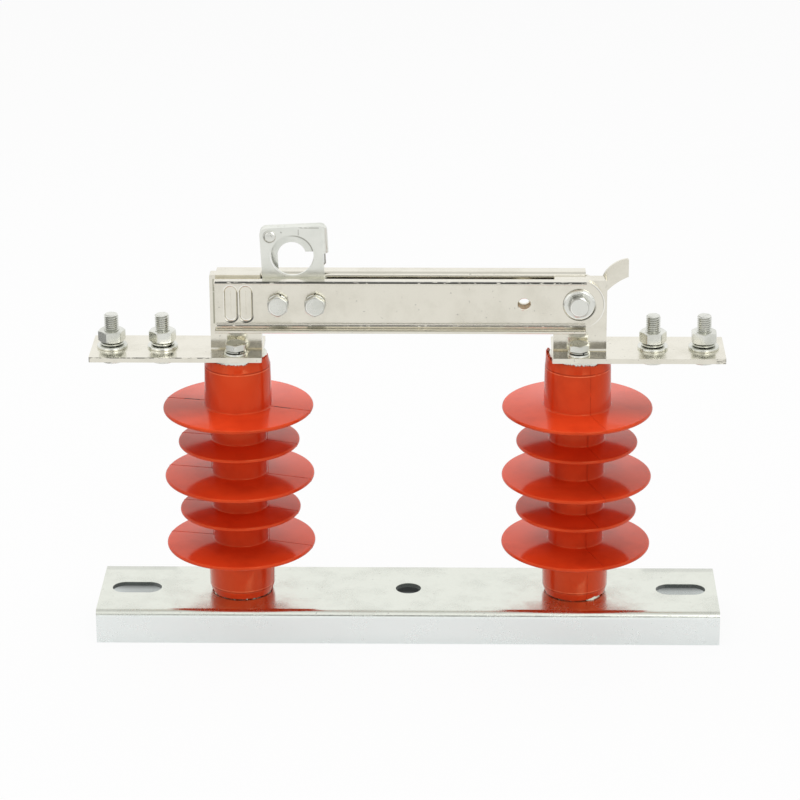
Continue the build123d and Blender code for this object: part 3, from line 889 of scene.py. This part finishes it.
def buildTerminals(word, side):
    big, small = sizes["m10"], sizes["m8"]
    spots = [(x, 0, barTop) for x in studX[word]]
    stack = big["washerThick"] + big["springThick"]
    head = makeHead(big)
    head.data.transform(Matrix.Translation((0, 0, -barThick)) @ Matrix.Rotation(pi, 4, "X"))
    nutTop = stack + big["nut"]
    stud = joinAll([head, addRod(big["shank"], -barThick - 0.0002, stack + 0.0005),
                    addRod(big["core"], stack, nutTop - 0.0006),
                    addThread(big, nutTop - 0.0011, studTop)], "stud")
    placeCopies(stud, word + "_terminal_bolts",
                [placeAt(spot, turn=30 * i) for i, spot in enumerate(spots)], "base")
    placeCopies(makeWasher(big), word + "_terminal_flat_washers", [placeAt(spot) for spot in spots], "base")
    placeCopies(lifted(makeSpring(big, 0.0005), big["washerThick"]), word + "_terminal_spring_washers",
                [placeAt(spot, turn=turn) for spot, turn in zip(spots, splitTurns[word])], "base")
    placeCopies(lifted(makeNut(big), stack), word + "_terminal_nuts",
                [placeAt(spot, turn=turn) for spot, turn in zip(spots, nutTurns[word])], "base")
    spots = [(side * postX, y, barTop) for y in (-capBoltY, capBoltY)]
    stack = small["washerThick"] + small["springThick"]
    screw = joinAll([lifted(makeHead(small), stack),
                     addRod(small["screw"], -barThick - tapDeep, stack)], "screw")
    placeCopies(screw, word + "_cap_bolts", [placeAt(spots[0], turn=35), placeAt(spots[1], turn=10)], "base")
    placeCopies(makeWasher(small), word + "_cap_flat_washers", [placeAt(spot) for spot in spots], "base")
    placeCopies(lifted(makeSpring(small, 0.0004), small["washerThick"]), word + "_cap_spring_washers",
                [placeAt(spots[0], turn=-60), placeAt(spots[1], turn=80)], "base")
    below, thick = (side * postX, 0, footZ - 0.003), big["washerThick"]  # under the channel's sheet
    screw = joinAll([lifted(makeHead(big), thick), addRod(big["screw"], -0.015, thick)], "screw")
    placeCopies(screw, word + "_base_bolt", [placeAt(below, "-Z", 8)], "base")
    placeCopies(makeWasher(big), word + "_base_washer", [placeAt(below, "-Z")], "base")


def makeBolt(size, under):
    # head under + the two blade halves + under again, then a nut's length of core and a threaded end
    back, nut, past = 2 * (sheetFace + under), size["nut"], 0.002
    end = addThread(size, back + nut - under - 0.0008, back + nut + past - under)
    end.data.transform(Matrix.Rotation(pi, 4, "X"))
    return joinAll([lifted(makeHead(size), under), addRod(size["shank"], under - back, under),
                    addRod(size["core"], under - back - nut, under - back), end], "bolt")


def buildBladeBolts():
    small = sizes["m8"]
    high = small["springThick"]
    spots, behind = ([(x, y, axisZ) for x in boltX] for y in (-sheetFace, sheetFace))
    bolts = [placeAt(spots[0], "-Y", 32), placeAt(spots[1], "-Y", 27)]
    placeCopies(makeBolt(small, high), "blade_bolts", bolts, "blade", "boltZinc")
    springs = [placeAt(spots[0], "-Y", 80), placeAt(spots[1], "-Y", 95)]
    springs += [placeAt(spot, "Y", 40) for spot in behind]
    placeCopies(makeSpring(small, 0.0004), "blade_spring_washers", springs, "blade")
    nuts = [placeAt(behind[0], "Y", 5), placeAt(behind[1], "Y", 20)]
    placeCopies(lifted(makeNut(small), high), "blade_nuts", nuts, "blade")


def buildPivot():
    small, thick = sizes["m8"], 0.0022
    front, rear = (postX, -sheetFace, axisZ), (postX, sheetFace, axisZ)
    dish = rounded([(0.0043, 0), (0.0111, 0), (0.0111, 0.0010), (0.0096, thick), (0.0043, thick - 0.0004)],
                   {2: 0.0006, 3: 0.0012}, 4)
    placeCopies(turnRound("dish", dish, 96), "pivot_washers",
                [placeAt(front, "-Y"), placeAt(rear, "Y")], "base", "washerZinc")
    placeCopies(makeBolt(small, thick), "pivot_bolt", [placeAt(front, "-Y", 12)], "base", "pivotZinc")
    placeCopies(lifted(makeNut(small), thick), "pivot_nut", [placeAt(rear, "Y")], "base")


# blade halves: a pressed channel each, flanges outward, with two long dents and a round nose
bladeShape = {"gap": 0.0053, "edge": 0.0163, "half": 0.0182, "flange": 0.0018, "outerBend": 0.0036,
              "innerBend": 0.0024, "start": -0.1295, "end": 0.1206, "nose": 0.0173, "dentWide": 0.0093,
              "dentLong": 0.0257, "dentDeep": 0.0012, "bumpHigh": 0.0007, "sightHole": (0.079, 0.00425),
              "pivotHole": 0.0041, "boltHole": 0.0044, "holeEdge": 0.0003, "cutPast": 0.001}
# stop horn on the rear half, from the pivot: its neck, tip and foot, and the radii of its two arcs
horn = {"neckTop": (0.0147, 0.012), "tip": (0.0325, 0.0281), "topArc": 0.0214,
        "neckLow": (0.015, 0), "foot": (0.0335, 0.0154), "lowArc": 0.0404,
        "corner": ((0.0333, 0.0276), (0.0335, 0.0268))}


def arcAcross(start, end, radius, pieces=14):
    # points from start to end on an arc whose centre lies to the right of the way there
    start, end = Vector(start), Vector(end)
    chord = end - start
    rightward = Vector((chord.y, -chord.x)).normalized()
    middle = (start + end) / 2 + rightward * (radius ** 2 - chord.length ** 2 / 4) ** 0.5
    a, b = start - middle, end - middle
    return [middle + a.slerp(b, k / pieces).normalized() * radius for k in range(pieces + 1)]


def addPlate(points, low, high):
    # an outline in X and Z made into a sheet between two values of Y
    return pushOut("plate", [Vector((x, low, z)) for x, z in points], (0, high - low, 0))


def makeDent(x, path, run):
    # a turned body laid along Y, with its upper and lower halves pulled apart by run
    tool = turnRound("dent", profile(path), 47)
    tool.data.transform(Matrix.Translation((x, 0, axisZ)) @ Matrix.Rotation(radians(-90), 4, "X"))
    for v in tool.data.vertices:
        v.co.z += run if v.co.z > axisZ else -run
    return tool


def cutWith(obj, tools):
    tool = joinAll(tools, "cutter")
    useModifier(obj, "BOOLEAN", object=tool, operation="DIFFERENCE", solver="EXACT")
    bpy.data.objects.remove(tool)


def bendChannel():
    # the channel's section is drawn across the blade and pushed along it
    b = bladeShape
    gap, edge, half, inside = b["gap"], b["edge"], b["half"], b["half"] - b["flange"]
    section = rounded([(gap, -half), (gap, half), (edge, half), (edge, inside), (sheetFace, inside),
                       (sheetFace, -inside), (edge, -inside), (edge, -half)],
                      {0: b["outerBend"], 1: b["outerBend"], 2: 0.0007, 3: 0.0004, 4: b["innerBend"],
                       5: b["innerBend"], 6: 0.0004, 7: 0.0007}, 8)
    return pushOut("bladeHalf", [Vector((b["start"], p.x, axisZ + p.z)) for p in section],
                   (b["end"] - b["start"], 0, 0))


def makeHoleCuts():
    # holes with a broken edge on both faces of the sheet
    b = bladeShape
    low, high, edge, past = b["gap"], sheetFace, b["holeEdge"], b["cutPast"]
    holes = [b["sightHole"], (postX, b["pivotHole"])] + [(x, b["boltHole"]) for x in boltX]
    cuts = []
    for x, r in holes:
        path = [(0.0001, low - past), (r + past + edge, low - past), (r, low + edge), (r, high - edge),
                (r + past + edge, high + past), (0.0001, high + past)]
        cuts.append(makeDent(x, path, 0))
    return cuts


def makeNose(withHorn):
    # the round end at the pivot, and on the rear half the stop horn
    b = bladeShape
    angles = [radians(t) for t in range(15, 166, 5)]
    outline = [(postX + b["nose"] * sin(t), axisZ + b["nose"] * cos(t)) for t in angles]
    if withHorn:
        top = arcAcross(horn["neckTop"], horn["tip"], horn["topArc"])
        low = arcAcross(horn["neckLow"], horn["foot"], horn["lowArc"])
        way = [(postX + x, axisZ + z) for x, z in top + list(horn["corner"]) + low[::-1]]
        outline = outline[:6] + way + outline[17:]
    inside, root, inset = b["end"] - 0.0005, 0.0165, 0.00001
    outline = [(inside, axisZ + root)] + outline + [(inside, axisZ - root)]
    return addPlate(outline, b["gap"] + inset, sheetFace - inset)


def buildBladeHalf(name, side):
    b = bladeShape
    gap, face = b["gap"], sheetFace
    obj = bendChannel()
    # the dents have a rounded lip and a plain floor, and show as low bumps on the other face
    wide, run = b["dentWide"] / 2, (b["dentLong"] - b["dentWide"]) / 2
    deep, past, high = face - b["dentDeep"], face + b["cutPast"], gap - b["bumpHigh"]
    dent = [(0.0001, past), (wide + 0.0012, past), (wide + 0.0004, face + 0.00001),
            (wide - 0.0001, face - 0.00015), (wide - 0.0005, face - 0.0005), (wide - 0.0009, face - 0.00112),
            (wide - 0.0012, deep), (0.0001, deep)]
    bump = [(0.0001, gap + 0.0004), (wide, gap + 0.0004), (wide - 0.0002, gap),
            (wide - 0.0009, high), (0.0001, high)]
    cutWith(obj, [makeDent(x, dent, run) for x in dentX])
    cuts = makeHoleCuts()
    nose = makeNose(side > 0)
    bumps = [makeDent(x, bump, run) for x in dentX]
    cutWith(obj, cuts)
    obj = joinAll([obj, nose] + bumps, name)
    useModifier(obj, "BEVEL", width=0.0003, segments=2, limit_method="ANGLE", angle_limit=radians(60))
    if side < 0:
        obj.data.transform(Matrix.Scale(-1, 4, (0, 1, 0)))
    clearSelection()
    obj.select_set(True)
    bpy.context.view_layer.objects.active = obj
    bpy.ops.object.mode_set(mode="EDIT")
    faceOutward()
    finishPiece(obj, "blade", "bladeTin", [name], 32)
    useModifier(obj, "WEIGHTED_NORMAL", weight=100, keep_sharp=True)


# the strip along the ring's top, in millimetres from the latch's axis, and the ring's tip at rest in degrees
ringTop = {"corner": (-4.85, 47.7), "foldX": 31.05, "round": 4.75, "footZ": 44, "halfThick": 2.05, "tip": 2.7,
           "inner": [(33.8, 50.2), (-4.85, 50.9), (-8.3, 47.7), (-8.3, 44)]}


def buildRingTop():
    # closes the gap between the ring's two leaves, turned with the ring at rest
    r, (x, z) = ringTop["round"], ringTop["corner"]
    outer = [(x - r, ringTop["footZ"])]
    outer += [(x - r * cos(radians(t)), z + r * sin(radians(t))) for t in range(0, 91, 15)]
    outer += [(ringTop["foldX"] + r * sin(radians(t)), z + r * cos(radians(t))) for t in range(0, 37, 12)]
    along, up = cos(radians(ringTop["tip"])), sin(radians(ringTop["tip"]))
    points = [(boltX[0] + (x * along - z * up) / 1000, axisZ + (x * up + z * along) / 1000)
              for x, z in outer + ringTop["inner"]]
    half = ringTop["halfThick"] / 1000
    strip = addPlate(points, -half, half)
    finishPiece(strip, "latch", "plated_sheet")
    strip.name = "latchRingTop"


def buildRivet():
    # low flat heads on both leaves, joined by the shank
    head = [(nearAxis, 0), (0.0041, 0), (0.0041, 0.0006), (0.0036, 0.0011), (0.0029, 0.0014),
            (nearAxis, 0.0015)]
    front, rear = ((rivetSpot[0], y, rivetSpot[1]) for y in (-0.004, 0.004))
    rivet = joinAll([turnRound("rivetHead", profile(head), 48), addRod(0.002, -0.0041, 0.0003)], "rivet")
    placeCopies(rivet, "latch_rivet", [placeAt(front, "-Y"), placeAt(rear, "Y")], "latch", "rivetZinc")


for name, side in (("front_blade", -1), ("rear_blade", 1)):
    buildBladeHalf(name, side)
buildRingTop()
buildRivet()
print("blade halves pressed")
for word, side in (("left", -1), ("right", 1)):
    buildTerminals(word, side)
buildBladeBolts()
buildPivot()
print("fasteners threaded and placed")
